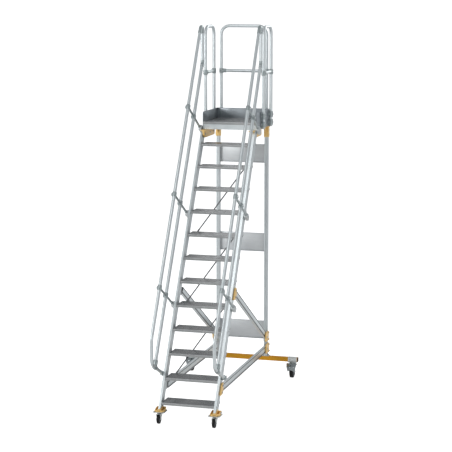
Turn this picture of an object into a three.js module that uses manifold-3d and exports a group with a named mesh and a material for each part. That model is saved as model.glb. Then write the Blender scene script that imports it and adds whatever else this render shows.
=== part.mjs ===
// Rolling warehouse ladder: a 60 degree stair with a guarded platform on four swivel casters.
// Millimetres. X is across the stair, -Y is the side a person climbs from, +Z is up.
// The stair is laid out with the front edge of its first tread at Y = 0, and the whole ladder is
// then moved so that the floor under the middle of its plan is the origin.
import * as THREE from "three";
import { mergeVertices } from "three/addons/utils/BufferGeometryUtils.js";
import Module from "manifold-3d";

// ---- driving dimensions -------------------------------------------------------------------
const GAP = 0.3; // clearance between pieces that touch
const RISE = 240; // from one tread to the next
const RUN = 140;
const TREADS = 12; // the platform is the next level
const FIRST_TOP = 220;
const TREAD_WIDTH = 591;
const TREAD_DEPTH = 228;
const TREAD_NOSE = 27; // height of the front face
const TREAD_WALL = 3;

const STRINGER_IN = TREAD_WIDTH / 2 + GAP; // inner face
const STRINGER_THICK = 25;
const STRINGER_FRONT = -2; // level offset from the nose line to the front edge
const STRINGER_BACK = 113;
const STRINGER_WALL = 4;
const STRINGER_FOOT_Z = 152.3;

const DECK_Z = FIRST_TOP + TREADS * RISE;
const DECK_FRONT = 1690;
const DECK_BACK = 2316;
const DECK_HALF = 318;
const DECK_NOSE = 28;
const DECK_PLATE = 4;
const BEAM_BOTTOM = 3014;
const BEAM_THICK = 30;
const BEAM_SETBACK = 6; // from the deck's edge to the beam's face
const TOE_TOP = DECK_Z + 114;
const TOE_THICK = 4;

const UPRIGHT_X = 295;
const UPRIGHT_Y = 2277;
const UPRIGHT_WIDE = 46;
const UPRIGHT_DEEP = 42;
const UPRIGHT_WALL = 3;
const PANEL_BOTTOMS = { lower: 445, middle: 1510, upper: 2574 };
const PANEL_HEIGHT = 221;
const PANEL_THICK = 3;

const CROSSBAR_BOTTOM = 187;
const CROSSBAR_SIDE = 53;
const CROSSBAR_HALF = 694;
const CROSSBAR_WALL = 3;

const BRACE_X = 305;
const BRACE_WIDE = 28;
const BRACE_TALL = 82;
const BRACE_WALL = 2.5;
const BRACES = {
  upper: { front: [794, 1296], back: [2230, 486] },
  lower: { front: [244, 361], back: [2246, 340] },
};
// A knuckle's middle lies back from the stringer's rear edge or from the brace's end, and up from that end.
const STRINGER_KNUCKLE = { inner: 299, outer: 332, size: [76, 108], back: 2, up: 8 };
const UPRIGHT_KNUCKLE = { inner: 286, outer: 326, size: [86, 108], back: -2 };
const KNUCKLE_ROUND = 18;

const RAIL_X = 346.5;
const TUBE = 38; // outer diameter of every rail and guard
const TUBE_WALL = 2.5;
const TUBE_SIDES = 10;
const GUARD_TOP = 4177;
const GUARD_BOTTOM = 3015;
const GUARD_BEND = 100;
const KNEE_Z = 3652;
const SIDE_GUARD_YS = [1911, 2269];
const REAR_GUARD_X = 276.4;
const REAR_GUARD_Y = 2341;

const TOP_RAIL = -591; // level offset from the nose line
const MID_RAIL = -295;
const RAIL_END_Y = 1779;
const RAIL_END_TOP = 4182;
const RAIL_END_BOTTOM = 3776;
const RAIL_FRONT_Y = -165;
const RAIL_RETURN_Z = 677;
const RAIL_FOOT = [215, 487];
const MID_RAIL_LOW_Y = -42;
const STRUT_HEIGHTS = { lower: 1170, middle: 2106, upper: 3023 }; // on the line of the stringer's middle
const STRUT_RADIUS = 13;
const CLAMP_RADIUS = 28;
const CLAMP_LENGTH = 46;
const SADDLE = 62;
const SADDLE_IN = 323; // the saddles' inner face, clear of the toe boards

const FRONT_SWIVEL = [309, 3];
const FRONT_WHEEL = { radius: 50, width: 31, trail: 48, cheek: 20, mount: 120, bore: 6.8 };
const FOOT_PLATE = { bottom: 128, half: 55, deep: 57, margin: 11 }; // margin of the zinc plate under it
const SLEEVE = { wall: 8, top: 192 }; // stops under the first tread
const REAR_SWIVEL = [629, UPRIGHT_Y];
const REAR_WHEEL = { radius: 75, width: 45, trail: 27, cheek: 28, mount: 180, bore: 8.8 };
const SWIVEL_GAP = 0.5;
const PEDAL = { half: 62, thick: 4, hinge: [-51, 168], pin: 5 };

// ---- materials ----------------------------------------------------------------------------
const finish = (color, metalness, roughness) => ({ color, metalness, roughness });
const ALUMINIUM = finish(0xc9cdcf, 0.9, 0.38);
const TREAD_METAL = finish(0x77797b, 0.9, 0.32);
const SHEET = finish(0x9da0a2, 0.85, 0.45);
const TOE_SHEET = finish(0x6c757b, 0.8, 0.45);
const CAST_YELLOW = finish(0xdda63a, 0.5, 0.42);
const ORANGE_PAINT = finish(0xc8852a, 0.2, 0.4);
const CAST_GREY = finish(0x66706f, 0.7, 0.5);
const ZINC = finish(0xc4c9c8, 1.0, 0.3);
const TYRE = finish(0x17181a, 0.0, 0.7);

// ---- solids -------------------------------------------------------------------------------
const wasm = await Module();
wasm.setup();

// A closed three.js geometry as a solid that can be joined and cut.
function solid(geometry) {
  const flat = geometry.clone();
  flat.deleteAttribute("normal");
  flat.deleteAttribute("uv");
  const merged = mergeVertices(flat, 1e-3);
  return new wasm.Manifold(
    new wasm.Mesh({
      numProp: 3,
      vertProperties: new Float32Array(merged.attributes.position.array),
      triVerts: new Uint32Array(merged.index.array),
    }),
  );
}

// A solid back as a flat-shaded three.js geometry.
function surface(body) {
  const mesh = body.getMesh();
  const shared = new THREE.BufferGeometry();
  shared.setAttribute("position", new THREE.BufferAttribute(mesh.vertProperties, 3));
  shared.setIndex(new THREE.BufferAttribute(mesh.triVerts, 1));
  const faceted = shared.toNonIndexed();
  faceted.computeVertexNormals();
  return faceted;
}

const join = (...pieces) => pieces.reduce((whole, piece) => whole.add(piece));
const cut = (body, ...tools) => tools.reduce((rest, tool) => rest.subtract(tool), body);

function box(x0, x1, y0, y1, z0, z1) {
  const block = new THREE.BoxGeometry(x1 - x0, y1 - y0, z1 - z0);
  return solid(block.translate((x0 + x1) / 2, (y0 + y1) / 2, (z0 + z1) / 2));
}

// An outline of [y, z] points, or a THREE.Shape of them, extruded across the ladder.
function slab(outline, x0, x1) {
  const shape = outline.isShape ? outline : new THREE.Shape(outline.map((p) => new THREE.Vector2(...p)));
  const extruded = new THREE.ExtrudeGeometry(shape, {
    depth: x1 - x0,
    bevelEnabled: false,
    curveSegments: 4,
  });
  // Shape x, shape y and depth become Y, Z and X.
  const toLadder = new THREE.Matrix4().makeBasis(
    new THREE.Vector3(0, 1, 0),
    new THREE.Vector3(0, 0, 1),
    new THREE.Vector3(1, 0, 0),
  );
  return solid(extruded.applyMatrix4(toLadder).translate(x0, 0, 0));
}

// A round bar between two points.
function bar(from, to, radius, sides = TUBE_SIDES) {
  const a = new THREE.Vector3(...from);
  const b = new THREE.Vector3(...to);
  const cylinder = new THREE.CylinderGeometry(radius, radius, a.distanceTo(b), sides);
  const along = b.clone().sub(a).normalize();
  const turn = new THREE.Quaternion().setFromUnitVectors(new THREE.Vector3(0, 1, 0), along);
  const middle = a.add(b).multiplyScalar(0.5);
  return solid(cylinder.applyQuaternion(turn).translate(middle.x, middle.y, middle.z));
}

// A flat box-section bar between two [y, z] points, cut square at its ends.
function flatBar(x0, x1, from, to, tall, longer = 0) {
  const [dy, dz] = direction(from, to);
  const side = ([y, z], along, up) => [
    y + dy * along - dz * up,
    z + dz * along + dy * up,
  ];
  const outline = [
    side(from, -longer, -tall / 2),
    side(to, longer, -tall / 2),
    side(to, longer, tall / 2),
    side(from, -longer, tall / 2),
  ];
  return slab(outline, x0, x1);
}

function direction(from, to) {
  const dy = to[0] - from[0];
  const dz = to[1] - from[1];
  const length = Math.hypot(dy, dz);
  return [dy / length, dz / length];
}

// A run of straight lengths joined by round bends, with one section at each station.
class Route extends THREE.Curve {
  constructor(corners, bend, turns = 3) {
    super();
    const points = corners.map((c) => new THREE.Vector3(...c));
    const last = points.length - 1;
    const heading = (i) => points[i + 1].clone().sub(points[i]).normalize();
    this.stations = [{ point: points[0], tangent: heading(0) }];
    for (let i = 1; i < last; i++) {
      const before = heading(i - 1);
      const after = heading(i);
      const angle = before.angleTo(after);
      const radius = Array.isArray(bend) ? bend[i - 1] : bend;
      const setback = radius * Math.tan(angle / 2);
      const start = points[i].clone().addScaledVector(before, -setback);
      const axis = before.clone().cross(after).normalize();
      const inward = axis.clone().cross(before);
      const centre = start.clone().addScaledVector(inward, radius);
      for (let k = 0; k <= turns; k++) {
        const swept = (angle * k) / turns;
        const arm = inward.clone().multiplyScalar(-radius).applyAxisAngle(axis, swept);
        this.stations.push({
          point: centre.clone().add(arm),
          tangent: before.clone().applyAxisAngle(axis, swept),
        });
      }
    }
    this.stations.push({ point: points[last], tangent: heading(last - 1) });
  }
  get steps() {
    return this.stations.length - 1;
  }
  station(u) {
    return this.stations[Math.round(u * this.steps)];
  }
  getPointAt(u, target = new THREE.Vector3()) {
    return target.copy(this.station(u).point);
  }
  getTangentAt(u, target = new THREE.Vector3()) {
    return target.copy(this.station(u).tangent);
  }
}

function ring(radius) {
  const corners = Array.from({ length: TUBE_SIDES }, (_, i) => (2 * Math.PI * i) / TUBE_SIDES);
  return corners.map((a) => new THREE.Vector2(radius * Math.cos(a), radius * Math.sin(a)));
}

// A hollow round tube along a route, open at both ends.
function tube(route, diameter = TUBE, wall = TUBE_WALL) {
  const section = new THREE.Shape(ring(diameter / 2));
  section.holes.push(new THREE.Path(ring(diameter / 2 - wall)));
  return solid(new THREE.ExtrudeGeometry(section, { steps: route.steps, extrudePath: route }));
}

// ---- the slope ----------------------------------------------------------------------------
const slopeY = (z, offset = 0) => ((z - FIRST_TOP) * RUN) / RISE + offset;
const slopeZ = (y, offset = 0) => FIRST_TOP + ((y - offset) * RISE) / RUN;
const UPHILL = direction([0, 0], [RUN, RISE]);
const OUTWARD = [-UPHILL[1], UPHILL[0]]; // square to the slope, up and to the front

// A strip of the slope between two level offsets and two heights.
const strip = (front, back, z0, z1) => [
  [slopeY(z0, front), z0],
  [slopeY(z0, back), z0],
  [slopeY(z1, back), z1],
  [slopeY(z1, front), z1],
];

// ---- sub-parts ----------------------------------------------------------------------------
// Each takes side = -1 for left or 1 for right where it comes in pairs.
const across = (side, a, b) => [Math.min(side * a, side * b), Math.max(side * a, side * b)];

function stringerBlock(side, grow = 0) {
  const [x0, x1] = across(side, STRINGER_IN - grow, STRINGER_IN + STRINGER_THICK + grow);
  const outline = strip(STRINGER_FRONT - grow, STRINGER_BACK + grow, STRINGER_FOOT_Z - grow, BEAM_BOTTOM - 1);
  return slab(outline, x0, x1);
}

function stringer(side) {
  const wall = STRINGER_WALL;
  const [x0, x1] = across(side, STRINGER_IN + wall, STRINGER_IN + STRINGER_THICK - wall);
  const bore = strip(STRINGER_FRONT + wall, STRINGER_BACK - wall, STRINGER_FOOT_Z - 1, BEAM_BOTTOM);
  return cut(stringerBlock(side), slab(bore, x0, x1));
}

function tread(level) {
  const top = FIRST_TOP + level * RISE;
  const front = slopeY(top);
  const back = front + TREAD_DEPTH;
  const bottom = top - TREAD_NOSE;
  const outline = [
    [front, top],
    [front, bottom],
    [front + 14, bottom],
    [front + 14, bottom + TREAD_WALL],
    [front + TREAD_WALL, bottom + TREAD_WALL],
    [front + TREAD_WALL, top - TREAD_WALL],
    [back - TREAD_WALL, top - TREAD_WALL],
    [back - TREAD_WALL, bottom],
    [back, bottom],
    [back, top],
  ];
  return slab(outline, -TREAD_WIDTH / 2, TREAD_WIDTH / 2);
}

function platformDeck() {
  const plate = box(-DECK_HALF, DECK_HALF, DECK_FRONT, DECK_BACK, DECK_Z - DECK_PLATE, DECK_Z);
  const nose = box(-DECK_HALF, DECK_HALF, DECK_FRONT, DECK_FRONT + DECK_PLATE, DECK_Z - DECK_NOSE, DECK_Z);
  return join(plate, nose);
}

function platformFrame() {
  const half = DECK_HALF - 1;
  const front = DECK_FRONT + BEAM_SETBACK;
  const top = DECK_Z - DECK_PLATE - GAP;
  const outside = box(-half, half, front, DECK_BACK - 1, BEAM_BOTTOM, top);
  const inside = box(
    -half + BEAM_THICK,
    half - BEAM_THICK,
    front + BEAM_THICK,
    DECK_BACK - 1 - BEAM_THICK,
    BEAM_BOTTOM - 1,
    top + 1,
  );
  return cut(outside, inside);
}

function toeBoard() {
  const inner = DECK_HALF + GAP;
  const outer = inner + TOE_THICK;
  const back = DECK_BACK + GAP;
  const front = DECK_FRONT + 12;
  const outside = box(-outer, outer, front, back + TOE_THICK, BEAM_BOTTOM, TOE_TOP);
  const inside = box(-inner, inner, front - 1, back, BEAM_BOTTOM - 1, TOE_TOP + 1);
  return cut(outside, inside);
}

function uprightBlock(side, grow = 0) {
  const [x0, x1] = across(side, UPRIGHT_X - UPRIGHT_WIDE / 2 - grow, UPRIGHT_X + UPRIGHT_WIDE / 2 + grow);
  const deep = UPRIGHT_DEEP / 2 + grow;
  const bottom = CROSSBAR_BOTTOM + CROSSBAR_SIDE + GAP;
  return box(x0, x1, UPRIGHT_Y - deep, UPRIGHT_Y + deep, bottom, BEAM_BOTTOM - GAP);
}

function upright(side) {
  const wall = UPRIGHT_WALL;
  const [x0, x1] = across(side, UPRIGHT_X - UPRIGHT_WIDE / 2 + wall, UPRIGHT_X + UPRIGHT_WIDE / 2 - wall);
  const deep = UPRIGHT_DEEP / 2 - wall;
  return cut(uprightBlock(side), box(x0, x1, UPRIGHT_Y - deep, UPRIGHT_Y + deep, 0, DECK_Z));
}

function panel(bottom) {
  const half = UPRIGHT_X - UPRIGHT_WIDE / 2 - GAP;
  const back = UPRIGHT_Y + UPRIGHT_DEEP / 2;
  return box(-half, half, back - PANEL_THICK, back, bottom, bottom + PANEL_HEIGHT);
}

function crossbar() {
  const y0 = UPRIGHT_Y - CROSSBAR_SIDE / 2;
  const y1 = UPRIGHT_Y + CROSSBAR_SIDE / 2;
  const z0 = CROSSBAR_BOTTOM;
  const z1 = z0 + CROSSBAR_SIDE;
  const wall = CROSSBAR_WALL;
  const bore = box(-CROSSBAR_HALF - 1, CROSSBAR_HALF + 1, y0 + wall, y1 - wall, z0 + wall, z1 - wall);
  const plates = [-1, 1].map((side) => {
    const x = side * REAR_SWIVEL[0];
    return box(x - 52, x + 52, y0 - 8, y1 + 8, REAR_WHEEL.mount + SWIVEL_GAP, z0 + 1);
  });
  return join(cut(box(-CROSSBAR_HALF, CROSSBAR_HALF, y0, y1, z0, z1), bore), ...plates);
}

function braceBlock(side, run, grow = 0) {
  const [x0, x1] = across(side, BRACE_X - BRACE_WIDE / 2 - grow, BRACE_X + BRACE_WIDE / 2 + grow);
  return flatBar(x0, x1, run.front, run.back, BRACE_TALL + 2 * grow, grow);
}

function brace(side, run) {
  const wall = BRACE_WALL;
  const [x0, x1] = across(side, BRACE_X - BRACE_WIDE / 2 + wall, BRACE_X + BRACE_WIDE / 2 - wall);
  const bore = flatBar(x0, x1, run.front, run.back, BRACE_TALL - 2 * wall, 1);
  return cut(braceBlock(side, run), bore);
}

// A cast clamp that grips a post or stringer and holds the end of a brace.
function roundedBlock(centre, size) {
  const [w, h] = size.map((s) => s / 2);
  const r = KNUCKLE_ROUND;
  const shape = new THREE.Shape();
  shape.moveTo(-w + r, -h);
  shape.absarc(w - r, -h + r, r, -Math.PI / 2, 0);
  shape.absarc(w - r, h - r, r, 0, Math.PI / 2);
  shape.absarc(-w + r, h - r, r, Math.PI / 2, Math.PI);
  shape.absarc(-w + r, -h + r, r, Math.PI, 1.5 * Math.PI);
  return shape.getPoints(2).map((p) => [p.x + centre[0], p.y + centre[1]]);
}

function stringerKnuckle(side, run) {
  const { inner, outer, size, back, up } = STRINGER_KNUCKLE;
  const z = run.front[1] + up;
  const block = slab(roundedBlock([slopeY(z, STRINGER_BACK) + back, z], size), ...across(side, inner, outer));
  return cut(block, stringerBlock(side, GAP), braceBlock(side, run, GAP));
}

function uprightKnuckle(side, run) {
  const { inner, outer, size, back } = UPRIGHT_KNUCKLE;
  const block = slab(roundedBlock([run.back[0] + back, run.back[1]], size), ...across(side, inner, outer));
  return cut(block, uprightBlock(side, GAP), braceBlock(side, run, GAP));
}

// A hoop of tube with a knee rail across it and a cast clamp at each foot.
function guard(feet, clampReach) {
  const [a, b] = feet;
  const at = ([x, y], z) => [x, y, z];
  const corners = [at(a, GUARD_BOTTOM), at(a, GUARD_TOP), at(b, GUARD_TOP), at(b, GUARD_BOTTOM)];
  const route = new Route(corners, GUARD_BEND);
  const knee = bar(at(a, KNEE_Z), at(b, KNEE_Z), TUBE / 2);
  const clamps = feet.map(([x, y]) => {
    const [dx, dy] = clampReach(x);
    const [x0, x1] = [Math.min(x, x + dx), Math.max(x, x + dx)];
    const [y0, y1] = [Math.min(y, y + dy), Math.max(y, y + dy)];
    const halfX = dx ? 0 : 17;
    const halfY = dy ? 0 : 17;
    return box(x0 - halfX, x1 + halfX, y0 - halfY, y1 + halfY, DECK_Z - 60, TOE_TOP - 20);
  });
  return join(tube(route), knee, ...clamps);
}

function sideGuard(side) {
  const reach = RAIL_X - (DECK_HALF + 2 * GAP + TOE_THICK);
  const feet = SIDE_GUARD_YS.map((y) => [side * RAIL_X, y]);
  return guard(feet, () => [-side * reach, 0]);
}

function rearGuard() {
  const reach = REAR_GUARD_Y - (DECK_BACK + 2 * GAP + TOE_THICK);
  const feet = [-1, 1].map((side) => [side * REAR_GUARD_X, REAR_GUARD_Y]);
  return guard(feet, () => [0, -reach]);
}

const HANDRAIL_CORNERS = [
  RAIL_FOOT,
  [RAIL_FRONT_Y, RAIL_RETURN_Z],
  [RAIL_FRONT_Y, slopeZ(RAIL_FRONT_Y, TOP_RAIL)],
  [slopeY(RAIL_END_TOP, TOP_RAIL), RAIL_END_TOP],
  [RAIL_END_Y, RAIL_END_TOP],
  [RAIL_END_Y, RAIL_END_BOTTOM],
];
const HANDRAIL_BENDS = [110, 150, 36, 36];

function handrail(side) {
  const x = side * RAIL_X;
  return tube(new Route(HANDRAIL_CORNERS.map(([y, z]) => [x, y, z]), HANDRAIL_BENDS));
}

function midRail(side) {
  const x = side * RAIL_X;
  const ends = [MID_RAIL_LOW_Y, RAIL_END_Y - TUBE / 2].map((y) => [x, y, slopeZ(y, MID_RAIL)]);
  return tube(new Route(ends, 0));
}

// A bracket square to the slope: a saddle on the stringer, and a clamp round each rail.
function strut(side, saddleZ) {
  const x = side * RAIL_X;
  const middle = (STRINGER_FRONT + STRINGER_BACK) / 2;
  const foot = [slopeY(saddleZ, middle), saddleZ];
  const drop = UPHILL[1] + (UPHILL[0] * RUN) / RISE; // offset lost for each mm along the strut
  const at = (offset) => {
    const reach = (middle - offset) / drop;
    return [foot[0] + OUTWARD[0] * reach, foot[1] + OUTWARD[1] * reach];
  };
  const along = ([y, z], distance) => [x, y + UPHILL[0] * distance, z + UPHILL[1] * distance];
  const clamp = (centre, radius, length) =>
    bar(along(centre, -length / 2), along(centre, length / 2), radius);
  const onMid = at(MID_RAIL);
  const onTop = at(TOP_RAIL);
  const [x0, x1] = across(side, SADDLE_IN, RAIL_X + STRUT_RADIUS);
  const saddle = flatBar(x0, x1, at(middle + SADDLE / 2 - 6), at(middle - SADDLE / 2), SADDLE);
  const whole = join(
    saddle,
    bar([x, ...foot], [x, ...onTop], STRUT_RADIUS),
    clamp(onMid, CLAMP_RADIUS, CLAMP_LENGTH),
    clamp(onTop, CLAMP_RADIUS, CLAMP_LENGTH),
  );
  const bore = (TUBE / 2 + GAP) / Math.cos(Math.PI / TUBE_SIDES); // the flats clear the tube
  return cut(whole, clamp(onMid, bore, CLAMP_LENGTH + 40), clamp(onTop, bore, CLAMP_LENGTH + 40));
}

// The cast foot: a plate, a sleeve round the stringer and the caster's top plate under it.
function foot(side) {
  const [sx, sy] = FRONT_SWIVEL;
  const x = side * sx;
  const { bottom, half, deep, margin } = FOOT_PLATE;
  const [wide, long] = [half + margin, deep + margin];
  const casting = box(x - half, x + half, sy - deep, sy + deep, bottom, STRINGER_FOOT_Z - GAP);
  const low = FRONT_WHEEL.mount + SWIVEL_GAP;
  const zinc = box(x - wide, x + wide, sy - long, sy + long, low, bottom + 1);
  const [x0, x1] = across(side, STRINGER_IN - SLEEVE.wall, STRINGER_IN + STRINGER_THICK + SLEEVE.wall);
  const around = strip(STRINGER_FRONT - 3, STRINGER_BACK + SLEEVE.wall, STRINGER_FOOT_Z - 5, SLEEVE.top);
  return join(casting, zinc, cut(slab(around, x0, x1), stringerBlock(side, GAP)));
}

// A swivel fork: a round head under its mount, and two cheeks that hold the axle.
function fork(swivel, side, wheel, flare) {
  const x = side * swivel[0];
  const axleY = swivel[1] - wheel.trail;
  const crown = 2 * wheel.radius + 4;
  const [head, top] = [wheel.radius * 0.55, wheel.mount];
  const cheekOutline = [
    [axleY - 12, wheel.radius - 12],
    [axleY + 12, wheel.radius - 12],
    [swivel[1] + head, crown],
    [swivel[1] + head, crown + 5],
    [axleY - wheel.radius * 0.45, crown + 5],
    [axleY - wheel.radius * 0.45, crown],
  ];
  const cheeks = [-1, 1].map((hand) => {
    const [x0, x1] = across(hand, wheel.cheek, wheel.cheek + 3);
    return slab(cheekOutline, x + x0, x + x1);
  });
  const bridge = box(
    x - wheel.cheek - 3,
    x + wheel.cheek + 3,
    axleY - wheel.radius * 0.45,
    swivel[1] + head,
    crown + 1,
    crown + 5,
  );
  const bearing = bar([x, swivel[1], crown + 2], [x, swivel[1], top], head, 16);
  const axle = bar(
    [x - wheel.cheek - flare, axleY, wheel.radius],
    [x + wheel.cheek + flare, axleY, wheel.radius],
    wheel.bore - 0.6,
  );
  return join(...cheeks, bridge, bearing, axle);
}

// The brake pedal of a rear caster: a hood in front of the wheel that hangs on a pin over the fork.
function brakePedal(side) {
  const x = side * REAR_SWIVEL[0];
  const [dy, z] = PEDAL.hinge;
  const y = REAR_SWIVEL[1] + dy;
  const outside = [[6, 4], [-38, 2], [-70, -20], [-80, -88]];
  const inside = outside.map(([oy, oz], i) => [oy + (i > 1 ? PEDAL.thick : 0), oz - (i < 3 ? PEDAL.thick : 0)]);
  const outline = [...outside, ...inside.reverse()].map(([oy, oz]) => [y + oy, z + oz]);
  const pin = bar([x - PEDAL.half, y, z], [x + PEDAL.half, y, z], PEDAL.pin);
  return join(slab(outline, x - PEDAL.half, x + PEDAL.half), pin);
}

// A wheel on its own axis: a tyre with round shoulders and a thinner hub.
function casterWheel(swivel, side, wheel) {
  const half = wheel.width / 2;
  const { radius, bore } = wheel;
  const profile = [
    [bore, -half - 3],
    [bore + 7, -half - 3],
    [bore + 7, -half + 6],
    [radius * 0.75, -half + 6],
    [radius * 0.82, -half],
    [radius, -half + 9],
    [radius, half - 9],
    [radius * 0.82, half],
    [radius * 0.75, half - 6],
    [bore + 7, half - 6],
    [bore + 7, half + 3],
    [bore, half + 3],
    [bore, -half - 3],
  ];
  const turned = new THREE.LatheGeometry(profile.map((p) => new THREE.Vector2(...p)), 20);
  turned.rotateZ(-Math.PI / 2);
  return solid(turned.translate(side * swivel[0], swivel[1] - wheel.trail, radius));
}

// ---- assembly -----------------------------------------------------------------------------
const ladder = new THREE.Group();

function add(name, body, look) {
  const mesh = new THREE.Mesh(surface(body), new THREE.MeshStandardMaterial(look));
  mesh.name = name;
  ladder.add(mesh);
}

for (let level = 0; level < TREADS; level++) {
  add("tread_" + String(level + 1).padStart(2, "0"), tread(level), TREAD_METAL);
}
add("platform_deck", platformDeck(), TREAD_METAL);
add("platform_frame", platformFrame(), ALUMINIUM);
add("toe_board", toeBoard(), TOE_SHEET);
add("crossbar", crossbar(), ORANGE_PAINT);
add("guard_rear", rearGuard(), ALUMINIUM);
for (const [place, bottom] of Object.entries(PANEL_BOTTOMS)) {
  add("panel_" + place, panel(bottom), SHEET);
}

for (const [hand, side] of [["left", -1], ["right", 1]]) {
  add("stringer_" + hand, stringer(side), ALUMINIUM);
  add("upright_" + hand, upright(side), ALUMINIUM);
  for (const [place, run] of Object.entries(BRACES)) {
    add("brace_" + place + "_" + hand, brace(side, run), ALUMINIUM);
    add("knuckle_stringer_" + place + "_" + hand, stringerKnuckle(side, run), CAST_YELLOW);
    add("knuckle_upright_" + place + "_" + hand, uprightKnuckle(side, run), CAST_YELLOW);
  }
  add("guard_" + hand, sideGuard(side), ALUMINIUM);
  add("handrail_" + hand, handrail(side), ALUMINIUM);
  add("mid_rail_" + hand, midRail(side), ALUMINIUM);
  for (const [place, z] of Object.entries(STRUT_HEIGHTS)) {
    add("rail_strut_" + place + "_" + hand, strut(side, z), CAST_GREY);
  }
  add("foot_" + hand, foot(side), CAST_YELLOW);
  add("fork_front_" + hand, fork(FRONT_SWIVEL, side, FRONT_WHEEL, 6), ZINC);
  add("wheel_front_" + hand, casterWheel(FRONT_SWIVEL, side, FRONT_WHEEL), TYRE);
  add("fork_rear_" + hand, fork(REAR_SWIVEL, side, REAR_WHEEL, 8), ZINC);
  add("brake_pedal_" + hand, brakePedal(side), ZINC);
  add("wheel_rear_" + hand, casterWheel(REAR_SWIVEL, side, REAR_WHEEL), TYRE);
}

ladder.position.y = -(REAR_GUARD_Y + RAIL_FRONT_Y) / 2;

export default ladder;
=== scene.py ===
"""A rolling warehouse ladder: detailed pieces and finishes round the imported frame.

Shapes are laid out in millimetres in the stair's own frame, where the front edge of the first tread is at
Y = 0, and Piece.done() turns them into metres in the row frame.
"""

import math

import bmesh
import bpy
from mathutils import Matrix, Vector
from mathutils.geometry import tessellate_polygon


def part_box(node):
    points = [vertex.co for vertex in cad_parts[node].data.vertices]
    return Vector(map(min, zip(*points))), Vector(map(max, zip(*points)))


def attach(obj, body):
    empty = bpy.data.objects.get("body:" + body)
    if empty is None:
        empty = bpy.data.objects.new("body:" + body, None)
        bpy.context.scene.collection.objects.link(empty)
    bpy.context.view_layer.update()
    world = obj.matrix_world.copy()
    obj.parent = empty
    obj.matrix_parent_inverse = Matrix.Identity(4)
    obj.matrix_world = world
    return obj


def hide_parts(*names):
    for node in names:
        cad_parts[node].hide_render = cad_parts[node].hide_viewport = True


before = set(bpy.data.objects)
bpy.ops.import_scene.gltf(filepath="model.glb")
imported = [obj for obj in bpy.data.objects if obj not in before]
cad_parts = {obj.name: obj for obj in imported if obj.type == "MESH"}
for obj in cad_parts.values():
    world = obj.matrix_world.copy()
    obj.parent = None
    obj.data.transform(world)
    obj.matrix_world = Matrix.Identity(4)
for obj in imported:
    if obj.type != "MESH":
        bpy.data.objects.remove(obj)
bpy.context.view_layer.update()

# ---- driving dimensions, in millimetres ----------------------------------------------------
MM = 0.001
SHIFT = 1088.0  # from the stair's first nose back to the frame's origin
SIDES = (("left", -1), ("right", 1))
BOX_TOP, BOX_BACK = 4200, 2359.9  # the frame's own limits

RISE, RUN, FIRST_TOP, TREADS = 240, 140, 220, 12
STRINGER_IN, STRINGER_THICK = 295.8, 25
STRINGER_OUT = STRINGER_IN + STRINGER_THICK
STRINGER_FRONT, STRINGER_BACK = -2, 113
STRINGER_MIDDLE = (STRINGER_FRONT + STRINGER_BACK) / 2

TUBE = 38
RAIL_X = 346.5
TOP_RAIL, MID_RAIL = -591, -295
RAIL_END_Y, RAIL_END_TOP, RAIL_END_BOTTOM = 1779, 4181, 3776
RAIL_FRONT_Y, RAIL_RETURN_Z = -165, 677
RAIL_FOOT = (215, 487)
RAIL_BENDS = (110, 150, 36, 36)
MID_RAIL_LOW_Y = -42
STRUT_HEIGHTS = {"lower": 1170, "middle": 2106, "upper": 3023}
SADDLE_IN = 323

GUARD_TOP, GUARD_BOTTOM, GUARD_BEND, KNEE_Z = 4177, 3015, 100, 3652
SIDE_GUARD_YS = (1911, 2269)
GUARD_CLAMPS = ((3028, 3096), (3122, 3190))  # the lower and upper end of each
REAR_GUARD_X, REAR_GUARD_Y = 276.4, 2341

BRACES = {"upper": ((794, 1296), (2230, 486)), "lower": ((244, 361), (2246, 340))}
BRACE_X, BRACE_WIDE, BRACE_TALL = 305, 28, 82

FRONT = {"swivel": (309, 3), "radius": 50, "width": 31, "trail": 48, "cheek": 20, "mount": 120}
REAR = {"swivel": (629, 2277), "radius": 75, "width": 45, "trail": 27, "cheek": 28, "mount": 180}
PEDAL_HINGE = (-51, 168)
CROSSBAR_Z = (187, 240)  # the tube's underside and top
BRACKET_TOP = 3014
GUSSET = [(1600, -62), (1590, -6), (1620, 0), (2028, 0), (2040, -14), (2040, -76), (2024, -90), (1700, -94),
          (1628, -90)]  # depth, and height from the brackets' top
ROD_TREADS = (11, 8, 5)  # the tread at each stay rod's upper end
ROD_ENDS = (214, -250)  # across the ladder, at the upper and lower end
ROD_BEHIND = 238

# ---- the view: metres, degrees and watts ---------------------------------------------------
BACKDROP = ((0.0, (0.66, 0.67, 0.68, 1)), (0.3, (0.55, 0.56, 0.57, 1)), (0.9, (0.52, 0.53, 0.54, 1)))
FLOOR = 400
LAMP_TARGET = Vector((0, 0, 2.0))
LAMPS = (  # name, place, size and power
    ("key", (-5.5, -7.0, 4.5), 3.5, 220),
    ("high", (-1.5, -7.0, 10.0), 3.0, 95),
    ("side", (8.0, -4.0, 3.0), 2.5, 40),
    ("rim", (3.0, 6.0, 6.0), 4.0, 120),
)
EYE, EYE_DOWN, EYE_TURN = (4.6657, -16.4359, 4.6983), 9.01, 15.44
LENS, SENSOR = 123.09, 36


def slope_y(z, offset=0.0):
    return (z - FIRST_TOP) * RUN / RISE + offset


def slope_z(y, offset=0.0):
    return FIRST_TOP + (y - offset) * RISE / RUN


UP = Vector((0, 0, 1))
UPHILL = Vector((0, RUN, RISE)).normalized()
OUTWARD = Vector((0, -UPHILL.z, UPHILL.y))  # square to the slope, up and to the front


def span(node):
    """A CAD node's lowest and highest corners in the stair's millimetres."""
    low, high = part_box(node)
    shift = Vector((0, SHIFT, 0))
    return low / MM + shift, high / MM + shift


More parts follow.
